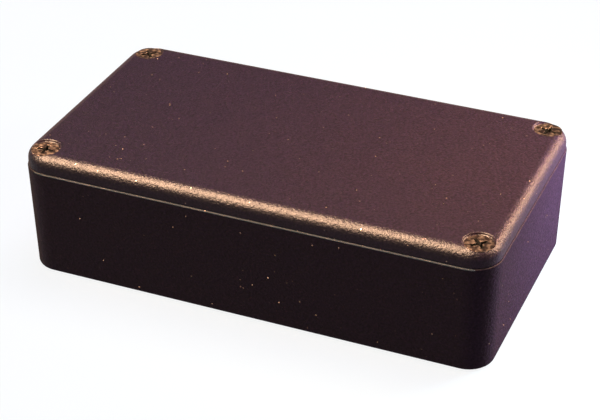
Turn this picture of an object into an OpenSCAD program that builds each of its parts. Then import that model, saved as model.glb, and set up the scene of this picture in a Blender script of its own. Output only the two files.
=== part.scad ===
// Die cast aluminium box: a one-piece tub, and a lid held down by four countersunk screws.
// Lengths are in millimetres and angles in degrees. The box stands on z = 0, lid up, with the
// origin at the middle of its base, its length along X and its front face towards -Y.

/* [Box] */
// Overall length, across the tub's rim
box_l = 110; // [90:1:150]
// Overall width, across the tub's rim
box_w = 60; // [50:1:100]
// Overall height, from the base to the top of the lid
box_h = 30; // [28:1:60]
// Radius of the corners in plan, at the tub's rim
corner_r = 6.5; // [6.2:0.1:8]
// Draft of the tub's walls, which let it out of the die
tub_draft = 1.25; // [0.5:0.05:2]

/* [Tub] */
// Thickness of the side walls
wall_t = 2.1; // [1.8:0.1:2.6]
// Thickness of the floor
floor_t = 2.2; // [1.8:0.1:3]
// Rounding of the outer edge of the rim, which shows as a bright line under the lid
rim_round = 0.3; // [0.15:0.05:0.5]
// Rounding of the outer edge of the base
base_round = 1; // [0.4:0.1:2]
// Fillet where the walls and bosses meet the floor inside
floor_fillet = 1.5; // [0.5:0.1:1.5]
// Fillet in the upright corners between a wall and a boss
well_fillet = 2.4; // [2.2:0.1:2.5]

/* [Lid] */
// Height of the lid's edge, from the rim to the top
lid_h = 4.1; // [3.8:0.1:6]
// Thickness of the flat plate of the lid
plate_t = 2; // [1.5:0.1:2.4]
// Rounding of the lid's top edge
lid_round = 2.6; // [1:0.1:3]
// Rounding of the lid's lower edge
lid_lower_round = 0.3; // [0.1:0.05:0.4]
// Draft of the lid's edge and of its hollow
lid_draft = 2; // [1:0.1:3]
// How far the tub's rim stands out past the lid all round
rim_ledge = 0.2; // [0.05:0.05:0.3]
// How far the locating lip reaches down into the tub
lip_h = 1.6; // [1:0.1:2.5]
// Thickness of the locating lip
lip_t = 1.5; // [1:0.1:2]
// Play between the lip and the walls
lip_play = 0.15; // [0.1:0.05:0.3]

/* [Screws] */
// Distance from a screw's axis to the two sides of the rim beside it
screw_inset = 4.8; // [4.6:0.1:5.5]
// Diameter over the screw's thread
screw_d = 3.44; // [3:0.01:3.5]
// Length of a screw, with its head
screw_l = 12; // [8:1:16]
// Diameter of the countersunk head
head_d = 6.2; // [6:0.1:6.8]
// Height of the straight edge of the head
head_edge = 0.2; // [0.1:0.05:0.3]
// Depth of the head's top below the top of the lid
head_sink = 0.5; // [0.3:0.05:0.8]
// Gap round the head in its recess
recess_gap = 0.3; // [0.1:0.05:0.35]
// Rounding of the recess's mouth
recess_round = 0.3; // [0.1:0.05:0.35]
// Width over two opposite wings of the cross recess
cross_w = 3.9; // [3:0.1:4.2]
// Thickness of a wing of the cross recess
wing_t = 0.8; // [0.6:0.05:1]
// Depth of the cross recess
cross_depth = 1.6; // [1:0.1:1.9]

/* [Bosses] */
// Radius of a boss round its screw
boss_r = 4.1; // [3.6:0.1:4.4]
// Diameter of the tapped hole, over its thread
tapped_d = 3.5; // [3:0.05:3.6]
// Depth of the tapped hole
tapped_depth = 14; // [10:1:18]
// Diameter of the plain hole through the lid
clear_d = 3.8; // [3.6:0.1:4.2]

/* [Hidden] */
$fn = 96;
OVER = 1;             // how far a cutter runs past the face that it opens
DRILL_POINT = 118;    // full angle of the point that a drill leaves
HEAD_ANGLE = 90;      // full angle of the countersunk head
CROSS_TAPER = 26;     // full angle between the ends of two opposite wings
MOUTH_BEVEL = 0.3;    // bevel at the mouth of a tapped hole
TIP_BEVEL = 0.5;      // bevel at the screw's end
HAIR = 0.003;         // how far a round is set past the faces it joins, so it crosses them cleanly

rim_z = box_h - lid_h;
plate_z = box_h - plate_t;
tub_half = [box_l, box_w] / 2;
lid_half = tub_half - [rim_ledge, rim_ledge];
screw_at = tub_half - [screw_inset, screw_inset];
head_r = head_d / 2;
head_top_z = box_h - head_sink;
head_cone_z = head_top_z - head_edge;
recess_r = head_r + recess_gap;
tub_slope = tan(tub_draft);
lid_slope = tan(lid_draft);
head_slope = tan(HEAD_ANGLE / 2);

// Puts the children in all four corners, each as the mirror image of its neighbours.
module four_corners() {
    for (flip_x = [0, 1], flip_y = [0, 1])
        mirror([flip_x, 0, 0]) mirror([0, flip_y, 0]) children();
}

// What a rounding of radius r takes off the corner at p, between the points before and after it.
module rounding(before, p, after, r) {
    u = (before - p) / norm(before - p);
    v = (after - p) / norm(after - p);
    half_angle = acos(u * v) / 2;
    reach = r - HAIR;
    centre = p + (u + v) / norm(u + v) * reach / sin(half_angle);
    difference() {
        polygon([p, p + u * reach / tan(half_angle), centre, p + v * reach / tan(half_angle)]);
        translate(centre) circle(r);
    }
}

// Half section of a drafted block, out from its core: as wide as low_r at low_z and as high_r
// at high_z, with a rounding on its lower and on its upper edge.
module drafted_edge(low_z, low_r, high_z, high_r, low_round, high_round) {
    low = [low_r, low_z];
    high = [high_r, high_z];
    difference() {
        polygon([[0, low_z], low, high, [0, high_z]]);
        if (low_round > 0) rounding([0, low_z], low, high, low_round);
        if (high_round > 0) rounding(low, high, [0, high_z], high_round);
    }
}

// Carries an edge section round a rectangular core: a quarter turn at each corner and a straight
// run along each side, so that flat walls, conical corners and round edges come out true.
module carried_round(core, low_z, high_z) {
    translate([-core.x, -core.y, low_z]) cube([2 * core.x, 2 * core.y, high_z - low_z]);
    four_corners() translate([core.x, core.y, 0]) rotate_extrude(angle = 90) children();
    for (flip = [0, 1]) {
        mirror([0, flip, 0]) translate([-core.x, core.y, 0])
            rotate([90, 0, 90]) linear_extrude(2 * core.x) children();
        mirror([flip, 0, 0]) translate([core.x, core.y, 0])
            rotate([90, 0, 0]) linear_extrude(2 * core.y) children();
    }
}

// A drafted block with a rectangular plan and round corners. half is its half size and r its
// corner radius, both at the level nominal_z; slope is how fast it widens upwards.
module drafted_block(half, r, nominal_z, slope, low_z, high_z, low_round = 0, high_round = 0) {
    core = half - [r, r];
    carried_round(core, low_z, high_z)
        drafted_edge(low_z, r + slope * (low_z - nominal_z), high_z, r + slope * (high_z - nominal_z),
                     low_round, high_round);
}

// The space between the walls and round the four bosses, drawn in from the tub's own inside by
// inset: a long block and a wide block that cross, and the rounded inner side of each boss.
module well(inset, slope, low_z, high_z, low_round = 0, high_round = 0) {
    walls = tub_half - (wall_t + inset) * [1, 1];
    bosses = screw_at - (boss_r + inset) * [1, 1];
    fillet = max(well_fillet - inset, 0.3);
    drafted_block([walls.x, bosses.y], fillet, rim_z, slope, low_z, high_z, low_round, high_round);
    drafted_block([bosses.x, walls.y], fillet, rim_z, slope, low_z, high_z, low_round, high_round);
    four_corners() translate([screw_at.x, screw_at.y, 0])
        boss_side(boss_r + inset, slope, low_z, high_z, low_round, high_round);
}

// The quarter of a ring that rounds the inner side of a boss of radius r.
module boss_side(r, slope, low_z, high_z, low_round, high_round) {
    low = [r + HAIR - slope * (low_z - rim_z), low_z];
    high = [r + HAIR - slope * (high_z - rim_z), high_z];
    outer = 1.5 * r;
    rotate([0, 0, 180]) rotate_extrude(angle = 90) difference() {
        polygon([low, [outer, low_z], [outer, high_z], high]);
        if (low_round > 0) rounding([outer, low_z], low, high, low_round);
        if (high_round > 0) rounding(low, high, [outer, high_z], high_round);
    }
}

// A hole tapped down into a boss, with a bevelled mouth and the point that the drill left.
module tapped_hole() {
    r = tapped_d / 2;
    foot_z = rim_z - tapped_depth;
    rotate_extrude() polygon([
        [0, foot_z - r / tan(DRILL_POINT / 2)], [r, foot_z], [r, rim_z - MOUTH_BEVEL],
        [r + MOUTH_BEVEL + OVER, rim_z + OVER], [0, rim_z + OVER]
    ]);
}

// The hole through the lid: a plain bore, the countersink that the head seats in, the straight
// wall that the head is sunk behind, and a rounded mouth.
module screw_seat() {
    clear_r = clear_d / 2;
    seat_z = head_cone_z - (head_r - clear_r) / head_slope;
    wall_z = head_cone_z + recess_gap / head_slope;
    wall_foot = [recess_r, wall_z];
    mouth = [recess_r, box_h];
    rotate_extrude() {
        polygon([
            [0, rim_z - OVER], [clear_r, rim_z - OVER], [clear_r, seat_z], wall_foot,
            mouth, [recess_r, box_h + OVER], [0, box_h + OVER]
        ]);
        rounding(wall_foot, mouth, [recess_r + 2 * recess_round, box_h], recess_round);
    }
}

// The tub: walls, floor and the four bosses, cast in one piece and tapped for the screws.
module box_body() {
    color([0.17, 0.13, 0.15]) difference() {
        drafted_block(tub_half, corner_r, rim_z, tub_slope, 0, rim_z, base_round, rim_round);
        well(0, tub_slope, floor_t, rim_z + OVER, floor_fillet);
        four_corners() translate([screw_at.x, screw_at.y, 0]) tapped_hole();
    }
}

// The lid: a round-edged plate, hollow below, with a lip that drops inside the walls and bends
// in round the bosses. Its solid corners sit down on the bosses.
module lid() {
    hollow_inset = lip_play + lip_t;
    color([0.3, 0.22, 0.25]) difference() {
        union() {
            drafted_block(lid_half, corner_r - rim_ledge, rim_z, -lid_slope, rim_z, box_h,
                          lid_lower_round, lid_round);
            well(lip_play, tub_slope, rim_z - lip_h, plate_z);
        }
        well(hollow_inset, -lid_slope, rim_z - lip_h - OVER, plate_z);
        four_corners() translate([screw_at.x, screw_at.y, 0]) screw_seat();
    }
}

// A cross recess: two slots that cross, their ends drawn in by a cone, and a round hollow that
// opens the middle between the wings.
module cross_recess() {
    top_r = cross_w / 2;
    bottom_r = top_r - cross_depth * tan(CROSS_TAPER / 2);
    translate([0, 0, -cross_depth]) {
        intersection() {
            cylinder(r1 = bottom_r, r2 = top_r, h = cross_depth);
            for (turn = [0, 90]) rotate([0, 0, turn])
                translate([-top_r, -wing_t / 2, 0]) cube([cross_w, wing_t, cross_depth]);
        }
        cylinder(r1 = wing_t / 2, r2 = wing_t, h = cross_depth);
    }
}

// A countersunk screw in the corner that side names, left with its cross at the given turn.
module lid_screw(side, turn) {
    shank_r = screw_d / 2;
    neck_z = head_cone_z - (head_r - shank_r) / head_slope;
    tip_z = head_top_z - screw_l;
    color([0.35, 0.3, 0.27]) translate([side.x * screw_at.x, side.y * screw_at.y, 0]) difference() {
        rotate_extrude() polygon([
            [0, tip_z], [shank_r - TIP_BEVEL, tip_z], [shank_r, tip_z + TIP_BEVEL], [shank_r, neck_z],
            [head_r, head_cone_z], [head_r, head_top_z], [0, head_top_z]
        ]);
        translate([0, 0, head_top_z]) rotate([0, 0, turn]) cross_recess();
    }
}

module lid_screw_front_left() { lid_screw([-1, -1], 3); }
module lid_screw_front_right() { lid_screw([1, -1], 44); }
module lid_screw_back_left() { lid_screw([-1, 1], 40); }
module lid_screw_back_right() { lid_screw([1, 1], 75); }

box_body();
lid();
lid_screw_front_left();
lid_screw_front_right();
lid_screw_back_left();
lid_screw_back_right();
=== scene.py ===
"""A die cast aluminium box with its lid on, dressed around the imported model, in metres."""

import math

import bmesh
import bpy
from mathutils import Matrix, Vector


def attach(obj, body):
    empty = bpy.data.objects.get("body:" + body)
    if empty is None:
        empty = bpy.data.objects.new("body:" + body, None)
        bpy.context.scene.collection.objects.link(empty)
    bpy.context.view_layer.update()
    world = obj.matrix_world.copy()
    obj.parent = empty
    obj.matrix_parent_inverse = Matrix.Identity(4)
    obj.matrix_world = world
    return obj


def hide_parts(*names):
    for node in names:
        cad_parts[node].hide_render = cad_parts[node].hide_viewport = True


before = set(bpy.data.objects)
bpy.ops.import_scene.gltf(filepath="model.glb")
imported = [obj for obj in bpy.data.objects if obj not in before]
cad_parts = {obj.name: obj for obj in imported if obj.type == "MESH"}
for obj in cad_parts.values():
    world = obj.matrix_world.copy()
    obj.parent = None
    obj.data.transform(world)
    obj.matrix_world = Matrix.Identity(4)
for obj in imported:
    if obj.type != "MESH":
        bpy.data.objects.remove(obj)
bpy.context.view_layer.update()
MM = 0.001


# --- Box body -------------------------------------------------------------------------------
# The tub is one aluminium die casting: drafted walls, a floor and four corner bosses. Its coat
# is dark bronze-brown with a fine satin grain, and a pale highlight is painted along the rim's front.

COAT_PLUM = (0.048, 0.0165, 0.036, 1.0)      # the coat's own colour
COAT_UMBER = (0.054, 0.0175, 0.035, 1.0)     # where it has gone on a little thicker
FLAKE_COLOUR = (0.42, 0.30, 0.24, 1.0)       # the few grains of metal pigment that show
PAINTED_RIM_HIGHLIGHT = (0.50, 0.33, 0.28, 1.0)        # the rim's rounded front edge, coloured pale as a painted highlight
GRAIN_SIZE = 0.55 * MM
GRAIN_HEIGHT = 0.16 * MM
PEEL_SIZE = 1.6 * MM
PEEL_HEIGHT = 0.012 * MM
FLAKE_SIZE = 0.22 * MM
FLAKE_SHARE = 0.0010
MOTTLE_SIZE = 7.0 * MM
HIGHLIGHT_HEIGHT = 0.3 * MM                     # down from the rim
HIGHLIGHT_DEPTH = 0.5 * MM                      # back from the front
GRAIN_RANGE = (0.30, 0.70)                   # the part of the noise that shades the grain
GRAIN_SHADE = (0.55, 1.45)                   # darkest and palest grain, against the coat's colour
GLOSS_SIZE = GRAIN_SIZE * 4
GLOSS_SPREAD = 0.04
SLANT_RANGE = (0.55, 0.95)                   # how far the surface turns away while it grows duller
SLANT_DULLING = 0.45
BODY_TURN = 0.0
BODY_ROUGHNESS = 0.56
BODY_SHINE = 0.04


def powder_coat(name, turn, roughness, shine, wear_and_painted_highlight=None):
    """Satin powder coat: fine grain over a soft orange peel, mottled colour, a few bright flakes.
    turn sets the pattern at another angle on each casting, so that two castings never match.
    The last argument gives the height above which, and the depth in front of which, a pale highlight is
    painted along the rim."""
    mat = bpy.data.materials.new(name)
    mat.use_nodes = True
    nodes, links = mat.node_tree.nodes, mat.node_tree.links
    shader = nodes["Principled BSDF"]
    place = nodes.new("ShaderNodeTexCoord")
    mapping = nodes.new("ShaderNodeMapping")
    mapping.inputs["Rotation"].default_value = (turn, turn / 2, turn)
    links.new(place.outputs["Object"], mapping.inputs["Vector"])

    def noise(size, detail, roughness=0.5):
        node = nodes.new("ShaderNodeTexNoise")
        node.inputs["Scale"].default_value = 1 / size
        node.inputs["Detail"].default_value = detail
        node.inputs["Roughness"].default_value = roughness
        links.new(mapping.outputs["Vector"], node.inputs["Vector"])
        return node.outputs["Fac"]

    mottle = nodes.new("ShaderNodeMixRGB")
    mottle.inputs["Color1"].default_value = COAT_PLUM
    mottle.inputs["Color2"].default_value = COAT_UMBER
    links.new(noise(MOTTLE_SIZE, 3), mottle.inputs["Fac"])

    grain_fac = noise(GRAIN_SIZE, 2, 0.6)
    shade = nodes.new("ShaderNodeMapRange")
    shade.inputs["From Min"].default_value = GRAIN_RANGE[0]
    shade.inputs["From Max"].default_value = GRAIN_RANGE[1]
    shade.inputs["To Min"].default_value = GRAIN_SHADE[0]
    shade.inputs["To Max"].default_value = GRAIN_SHADE[1]
    links.new(grain_fac, shade.inputs["Value"])
    grained = nodes.new("ShaderNodeVectorMath")
    grained.operation = "SCALE"
    links.new(mottle.outputs["Color"], grained.inputs[0])
    links.new(shade.outputs["Result"], grained.inputs["Scale"])

    plain = grained.outputs["Vector"]
    # Painted highlight: the rim's rounded front edge is coloured pale above the given height and in front of
    # the given depth.
    if wear_and_painted_highlight:
        spot = nodes.new("ShaderNodeSeparateXYZ")
        links.new(place.outputs["Object"], spot.inputs["Vector"])
        above = nodes.new("ShaderNodeMath")
        above.operation = "GREATER_THAN"
        above.inputs[1].default_value = wear_and_painted_highlight[0]
        links.new(spot.outputs["Z"], above.inputs[0])
        before = nodes.new("ShaderNodeMath")
        before.operation = "LESS_THAN"
        before.inputs[1].default_value = wear_and_painted_highlight[1]
        links.new(spot.outputs["Y"], before.inputs[0])
        highlight_mask = nodes.new("ShaderNodeMath")
        highlight_mask.operation = "MULTIPLY"
        links.new(above.outputs["Value"], highlight_mask.inputs[0])
        links.new(before.outputs["Value"], highlight_mask.inputs[1])
        rim_highlight = nodes.new("ShaderNodeMixRGB")
        rim_highlight.inputs["Color2"].default_value = PAINTED_RIM_HIGHLIGHT
        links.new(highlight_mask.outputs["Value"], rim_highlight.inputs["Fac"])
        links.new(plain, rim_highlight.inputs["Color1"])
        plain = rim_highlight.outputs["Color"]

    cells = nodes.new("ShaderNodeTexVoronoi")
    cells.inputs["Scale"].default_value = 1 / FLAKE_SIZE
    links.new(mapping.outputs["Vector"], cells.inputs["Vector"])
    lot = nodes.new("ShaderNodeSeparateColor")
    links.new(cells.outputs["Color"], lot.inputs["Color"])
    chosen = nodes.new("ShaderNodeMath")
    chosen.operation = "LESS_THAN"
    chosen.inputs[1].default_value = FLAKE_SHARE
    links.new(lot.outputs["Red"], chosen.inputs[0])
    bright = nodes.new("ShaderNodeMath")
    bright.operation = "MULTIPLY"
    links.new(chosen.outputs["Value"], bright.inputs[0])
    links.new(lot.outputs["Green"], bright.inputs[1])
    flaked = nodes.new("ShaderNodeMixRGB")
    flaked.inputs["Color2"].default_value = FLAKE_COLOUR
    links.new(plain, flaked.inputs["Color1"])
    links.new(bright.outputs["Value"], flaked.inputs["Fac"])
    links.new(flaked.outputs["Color"], shader.inputs["Base Color"])
    links.new(bright.outputs["Value"], shader.inputs["Metallic"])

    gloss = nodes.new("ShaderNodeMapRange")
    gloss.inputs["To Min"].default_value = roughness - GLOSS_SPREAD
    gloss.inputs["To Max"].default_value = roughness + GLOSS_SPREAD
    links.new(noise(GLOSS_SIZE, 2), gloss.inputs["Value"])
    slant = nodes.new("ShaderNodeLayerWeight")
    slant.inputs["Blend"].default_value = 0.5
    dulled = nodes.new("ShaderNodeMapRange")
    dulled.inputs["From Min"].default_value = SLANT_RANGE[0]
    dulled.inputs["From Max"].default_value = SLANT_RANGE[1]
    dulled.inputs["To Max"].default_value = SLANT_DULLING
    links.new(slant.outputs["Facing"], dulled.inputs["Value"])
    rough = nodes.new("ShaderNodeMath")
    rough.use_clamp = True
    links.new(gloss.outputs["Result"], rough.inputs[0])
    links.new(dulled.outputs["Result"], rough.inputs[1])
    links.new(rough.outputs["Value"], shader.inputs["Roughness"])

    peel = nodes.new("ShaderNodeBump")
    peel.inputs["Distance"].default_value = PEEL_HEIGHT
    links.new(noise(PEEL_SIZE, 1), peel.inputs["Height"])
    grain = nodes.new("ShaderNodeBump")
    grain.inputs["Distance"].default_value = GRAIN_HEIGHT
    links.new(grain_fac, grain.inputs["Height"])
    links.new(peel.outputs["Normal"], grain.inputs["Normal"])
    links.new(grain.outputs["Normal"], shader.inputs["Normal"])

    shader.inputs["Specular IOR Level"].default_value = shine
    return mat


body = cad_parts["box_body"]
rim_z = max(vert.co.z for vert in body.data.vertices)
front_y = min(vert.co.y for vert in body.data.vertices)
# The body's coat carries a painted highlight along the front of the rim.
body.data.materials.clear()
body.data.materials.append(powder_coat("body_powder_coat", BODY_TURN, BODY_ROUGHNESS, BODY_SHINE,
                                       (rim_z - HIGHLIGHT_HEIGHT, front_y + HIGHLIGHT_DEPTH)))


# --- Lid ------------------------------------------------------------------------------------
# The lid is a second casting in the same colours, a little glossier than the body. Its lip drops
# inside the body's walls, and its widely rounded edge catches the light.

LID_TURN = 1.1
LID_ROUGHNESS = 0.42
LID_SHINE = 0.09

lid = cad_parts["lid"]
lid.data.materials.clear()
lid.data.materials.append(powder_coat("lid_powder_coat", LID_TURN, LID_ROUGHNESS, LID_SHINE))


# --- Lid screws -----------------------------------------------------------------------------
# Four countersunk steel screws with a cross recess, dark bronze and rubbed bright in places. Each
# head is seated in the lid, at its own turn. The rolled thread and the softly broken edges are added
# here to the imported shapes, and the inside of each cross is painted near black as shade.

SCREW_BRONZE = (0.045, 0.030, 0.028, 1.0)    # the bronzed finish
SCREW_BRIGHT = (0.30, 0.22, 0.18, 1.0)       # where it is rubbed through
# painted shade: the inside of each cross recess is coloured near black
RECESS_SHADE_BLACK = (0.004, 0.003, 0.003, 1.0)
THREAD_R = 1.72 * MM
ROOT_R = 1.36 * MM
PITCH = 0.6 * MM
CROSS_R = 2.05 * MM          # everything below the head's top and nearer the axis is the cross
EDGE_BREAK = 0.035 * MM
THREAD_STEPS = 20            # in one turn
CREST = (0.45, 0.55)         # where the ridge's flat top starts and ends, in pitches
CREST_GAP = 0.01 * MM        # how far the crest stays inside the plain shank
RIDGE_SINK = 0.05 * MM       # how far the ridge's foot is sunk in the root
THREAD_FOOT = 0.4 * MM       # up from the screw's end
THREAD_TOP = 2.2 * MM        # down from the head's top, as are the next four
HEAD_HEIGHT = 1.4 * MM
EDGE_ZONE = 0.3 * MM
CROSS_DEPTH = 1.7 * MM
CROSS_MOUTH = 0.06 * MM
MERGE_DISTANCE = 0.002 * MM
FLAT_ANGLE = math.radians(1)
SHARP_ANGLE = math.radians(30)
RUBBED_PATCH = 0.9 * MM
RUBBED_RAMP = (0.45, 0.72)
STEEL_ROUGHNESS = (0.30, 0.42)
PIT_SIZE = 0.35 * MM
PIT_DEPTH = 0.04 * MM
# The cross recess's painted shade: patch size, share of bronze showing, roughness and shine
SHADE_PATCH_SIZE = 0.4 * MM
SHADE_BRONZE_SHARE = 0.3
RECESS_SHADE_ROUGHNESS = 0.7
RECESS_SHADE_SHINE = 0.1


def bronzed_steel():
    """Dark bronzed steel, rubbed bright in small patches."""
    mat = bpy.data.materials.new("bronzed_steel")
    mat.use_nodes = True
    nodes, links = mat.node_tree.nodes, mat.node_tree.links
    shader = nodes["Principled BSDF"]
    place = nodes.new("ShaderNodeTexCoord")
    wear_and_painted_highlight = nodes.new("ShaderNodeTexNoise")
    wear_and_painted_highlight.inputs["Scale"].default_value = 1 / RUBBED_PATCH
    wear_and_painted_highlight.inputs["Detail"].default_value = 4
    links.new(place.outputs["Object"], wear_and_painted_highlight.inputs["Vector"])
    ramp = nodes.new("ShaderNodeValToRGB")
    ramp.color_ramp.elements[0].position = RUBBED_RAMP[0]
    ramp.color_ramp.elements[0].color = SCREW_BRONZE
    ramp.color_ramp.elements[1].position = RUBBED_RAMP[1]
    ramp.color_ramp.elements[1].color = SCREW_BRIGHT
    links.new(wear_and_painted_highlight.outputs["Fac"], ramp.inputs["Fac"])
    links.new(ramp.outputs["Color"], shader.inputs["Base Color"])
    uneven = nodes.new("ShaderNodeMapRange")
    uneven.inputs["To Min"].default_value = STEEL_ROUGHNESS[0]
    uneven.inputs["To Max"].default_value = STEEL_ROUGHNESS[1]
    links.new(wear_and_painted_highlight.outputs["Fac"], uneven.inputs["Value"])
    links.new(uneven.outputs["Result"], shader.inputs["Roughness"])
    pits = nodes.new("ShaderNodeTexNoise")
    pits.inputs["Scale"].default_value = 1 / PIT_SIZE
    links.new(place.outputs["Object"], pits.inputs["Vector"])
    dents = nodes.new("ShaderNodeBump")
    dents.inputs["Distance"].default_value = PIT_DEPTH
    links.new(pits.outputs["Fac"], dents.inputs["Height"])
    links.new(dents.outputs["Normal"], shader.inputs["Normal"])
    shader.inputs["Metallic"].default_value = 1.0
    return mat


def painted_recess_shade():
    """Painted shade for the inside of a cross recess: near black and dull, with a little bronze showing."""
    mat = bpy.data.materials.new("painted_recess_shade")
    mat.use_nodes = True
    nodes, links = mat.node_tree.nodes, mat.node_tree.links
    shader = nodes["Principled BSDF"]
    place = nodes.new("ShaderNodeTexCoord")
    shade_patches = nodes.new("ShaderNodeTexNoise")
    shade_patches.inputs["Scale"].default_value = 1 / SHADE_PATCH_SIZE
    links.new(place.outputs["Object"], shade_patches.inputs["Vector"])
    patchy = nodes.new("ShaderNodeMixRGB")
    patchy.inputs["Color1"].default_value = RECESS_SHADE_BLACK
    patchy.inputs["Color2"].default_value = SCREW_BRONZE
    deep = nodes.new("ShaderNodeMath")
    deep.operation = "MULTIPLY"
    deep.inputs[1].default_value = SHADE_BRONZE_SHARE
    links.new(shade_patches.outputs["Fac"], deep.inputs[0])
    links.new(deep.outputs["Value"], patchy.inputs["Fac"])
    links.new(patchy.outputs["Color"], shader.inputs["Base Color"])
    shader.inputs["Roughness"].default_value = RECESS_SHADE_ROUGHNESS
    shader.inputs["Specular IOR Level"].default_value = RECESS_SHADE_SHINE
    return mat


def thread(shape, axis, low_z, high_z):
    """A rolled thread: one sharp ridge carried round the shank and up, a pitch at each turn."""
    foot = ROOT_R - RIDGE_SINK
    crest = THREAD_R - CREST_GAP
    section = [
        shape.verts.new((axis.x + foot, axis.y, low_z)),
        shape.verts.new((axis.x + crest, axis.y, low_z + CREST[0] * PITCH)),
        shape.verts.new((axis.x + crest, axis.y, low_z + CREST[1] * PITCH)),
        shape.verts.new((axis.x + foot, axis.y, low_z + PITCH)),
    ]
    start = shape.faces.new(section)
    turns = (high_z - low_z) / PITCH - 1
    steps = round(turns * THREAD_STEPS)
    bmesh.ops.spin(shape, geom=[start, *start.edges, *start.verts], cent=(axis.x, axis.y, 0), axis=(0, 0, 1),
                   dvec=(0, 0, turns * PITCH / steps), angle=math.tau * turns, steps=steps)


def detailed_screw(node, name):
    """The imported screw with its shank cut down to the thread's root, its edges broken and a thread."""
    shape = bmesh.new()
    shape.from_mesh(node.data)
    bmesh.ops.remove_doubles(shape, verts=shape.verts, dist=MERGE_DISTANCE)
    bmesh.ops.dissolve_limit(shape, angle_limit=FLAT_ANGLE, verts=shape.verts, edges=shape.edges)
    low = Vector((min(v.co[i] for v in shape.verts) for i in range(3)))
    high = Vector((max(v.co[i] for v in shape.verts) for i in range(3)))
    axis = ((low + high) / 2).to_2d()
    for vert in shape.verts:
        out = vert.co.to_2d() - axis
        if vert.co.z < high.z - HEAD_HEIGHT and out.length > ROOT_R:
            vert.co.xy = axis + out * (ROOT_R / out.length)
    sharp = [e for e in shape.edges if len(e.link_faces) == 2 and e.calc_face_angle(0) > SHARP_ANGLE
             and min(v.co.z for v in e.verts) > high.z - EDGE_ZONE]
    bmesh.ops.bevel(shape, geom=sharp, affect="EDGES", offset=EDGE_BREAK,
                    segments=2, profile=0.5, material=-1)
    # Faces inside the cross get the painted shade; the rest stay bronzed steel.
    for face in shape.faces:
        middle = face.calc_center_median()
        in_cross = (middle.to_2d() - axis).length < CROSS_R and middle.z > high.z - CROSS_DEPTH
        face.material_index = 1 if in_cross and middle.z < high.z - CROSS_MOUTH else 0
    thread(shape, axis, low.z + THREAD_FOOT, high.z - THREAD_TOP)
    bmesh.ops.recalc_face_normals(shape, faces=shape.faces)
    mesh = bpy.data.meshes.new(name)
    shape.to_mesh(mesh)
    shape.free()
    mesh.materials.append(steel)
    mesh.materials.append(recess_shade)
    screw = bpy.data.objects.new(name, mesh)
    bpy.context.scene.collection.objects.link(screw)
    return screw


steel = bronzed_steel()
recess_shade = painted_recess_shade()
for corner in ("front_left", "front_right", "back_left", "back_right"):
    screw = detailed_screw(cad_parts["lid_screw_" + corner], "threaded_screw_" + corner)
    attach(screw, "root")
    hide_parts("lid_screw_" + corner)


# --- Studio floor ---------------------------------------------------------------------------
# A plain pale sweep: white to the camera and in reflections, with the box's soft shadow on it.

FLOOR_SIZE = 6.0
DULL_GREY = (0.07, 0.07, 0.07, 1.0)
PALE_GREY = (0.16, 0.16, 0.16, 1.0)
GLOW = 0.88

floor_mesh = bpy.data.meshes.new("floor")
shape = bmesh.new()
bmesh.ops.create_grid(shape, x_segments=1, y_segments=1, size=FLOOR_SIZE / 2)
shape.to_mesh(floor_mesh)
shape.free()
floor = bpy.data.objects.new("floor", floor_mesh)
bpy.context.scene.collection.objects.link(floor)

paper = bpy.data.materials.new("paper_sweep")
paper.use_nodes = True
nodes, links = paper.node_tree.nodes, paper.node_tree.links
nodes.clear()
output = nodes.new("ShaderNodeOutputMaterial")
path = nodes.new("ShaderNodeLightPath")
seen = nodes.new("ShaderNodeMath")
seen.operation = "MAXIMUM"
links.new(path.outputs["Is Camera Ray"], seen.inputs[0])
links.new(path.outputs["Is Glossy Ray"], seen.inputs[1])
seen_all = nodes.new("ShaderNodeMath")
seen_all.operation = "MAXIMUM"
links.new(seen.outputs["Value"], seen_all.inputs[0])
links.new(path.outputs["Is Transmission Ray"], seen_all.inputs[1])
dull = nodes.new("ShaderNodeBsdfDiffuse")
dull.inputs["Color"].default_value = DULL_GREY
pale = nodes.new("ShaderNodeBsdfDiffuse")
pale.inputs["Color"].default_value = PALE_GREY
glow = nodes.new("ShaderNodeEmission")
glow.inputs["Strength"].default_value = GLOW
white = nodes.new("ShaderNodeAddShader")
links.new(pale.outputs["BSDF"], white.inputs[0])
links.new(glow.outputs["Emission"], white.inputs[1])
either = nodes.new("ShaderNodeMixShader")
links.new(seen_all.outputs["Value"], either.inputs["Fac"])
links.new(dull.outputs["BSDF"], either.inputs[1])
links.new(white.outputs["Shader"], either.inputs[2])
links.new(either.outputs["Shader"], output.inputs["Surface"])
floor_mesh.materials.append(paper)


# --- Studio light ---------------------------------------------------------------------------
# A dim cool room. A soft overhead lamp, a low warm one and a low cool one light the colours, and
# two warm ones, high and far off, only draw shine. They are placed for the camera below: seen from
# other sides, their shine can fall on the flat top of the lid.

ROOM_COLOUR = (0.03, 0.12, 0.14, 1.0)

world = bpy.data.worlds.new("room")
bpy.context.scene.world = world
world.use_nodes = True
nodes, links = world.node_tree.nodes, world.node_tree.links
sky = nodes["Background"]
sky.inputs["Color"].default_value = ROOM_COLOUR


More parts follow.
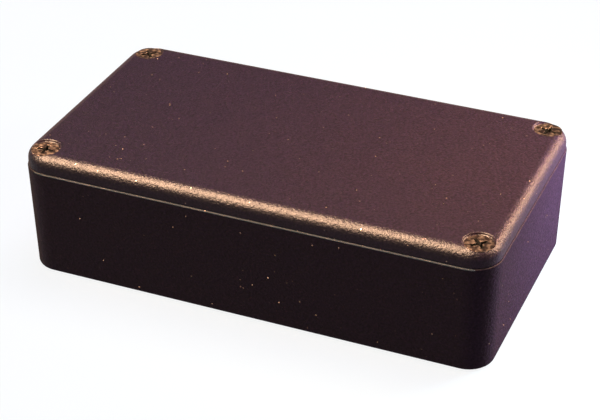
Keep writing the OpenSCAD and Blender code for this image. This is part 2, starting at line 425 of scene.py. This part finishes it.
def lamp(name, place, aim, size, power, colour, gloss):
    """A round area lamp at place that faces aim, both in millimetres. It only draws shine where
    gloss is true, and only lights the colours where it is false."""
    light = bpy.data.lights.new(name, "AREA")
    light.shape = "DISK"
    light.size = size * MM
    light.energy = power
    light.color = colour
    holder = bpy.data.objects.new(name, light)
    way = (Vector(place) - Vector(aim)).to_track_quat("Z", "Y").to_matrix().to_4x4()
    holder.matrix_world = Matrix.Translation(Vector(place) * MM) @ way
    bpy.context.scene.collection.objects.link(holder)
    holder.visible_camera = False
    holder.visible_glossy = gloss
    holder.visible_diffuse = not gloss


lamp("soft_lamp", (100, 240, 920), (0, 0, 15), 700, 7.6, (0.74, 0.72, 1.0), False)
lamp("warm_lamp", (60, 8, 105), (45, 5, 30), 40, 0.055, (1.0, 0.95, 0.12), False)
lamp("side_lamp", (105, 40, 32), (55, 15, 18), 30, 0.15, (0.49, 0.76, 1.0), False)
lamp("front_edge_lamp", (-450, -400, 980), (0, -30, 28), 800, 420.0, (1.0, 0.64, 0.39), True)
lamp("right_edge_lamp", (900, 700, 600), (55, 0, 28), 800, 180.0, (1.0, 0.62, 0.36), True)


# --- Camera ---------------------------------------------------------------------------------
# Stands to the right of the box's front and looks down on it.

AZIMUTH, ELEVATION, ROLL = math.radians(22.994), math.radians(31.917), math.radians(-0.321)
DISTANCE = 403.0 * MM
AIM = Vector((-1.36, 3.68, 8.59)) * MM
SENSOR_WIDTH = 36.0
LENS = 104.65

back = Vector((
    math.sin(AZIMUTH) * math.cos(ELEVATION),
    -math.cos(AZIMUTH) * math.cos(ELEVATION),
    math.sin(ELEVATION),
))
camera_data = bpy.data.cameras.new("camera")
camera_data.sensor_width = SENSOR_WIDTH
camera_data.lens = LENS
camera = bpy.data.objects.new("camera", camera_data)
bpy.context.scene.collection.objects.link(camera)
turn = back.to_track_quat("Z", "Y").to_matrix().to_4x4() @ Matrix.Rotation(ROLL, 4, "Z")
camera.matrix_world = Matrix.Translation(AIM + back * DISTANCE) @ turn
bpy.context.scene.camera = camera
bpy.context.scene.view_settings.view_transform = "Standard"
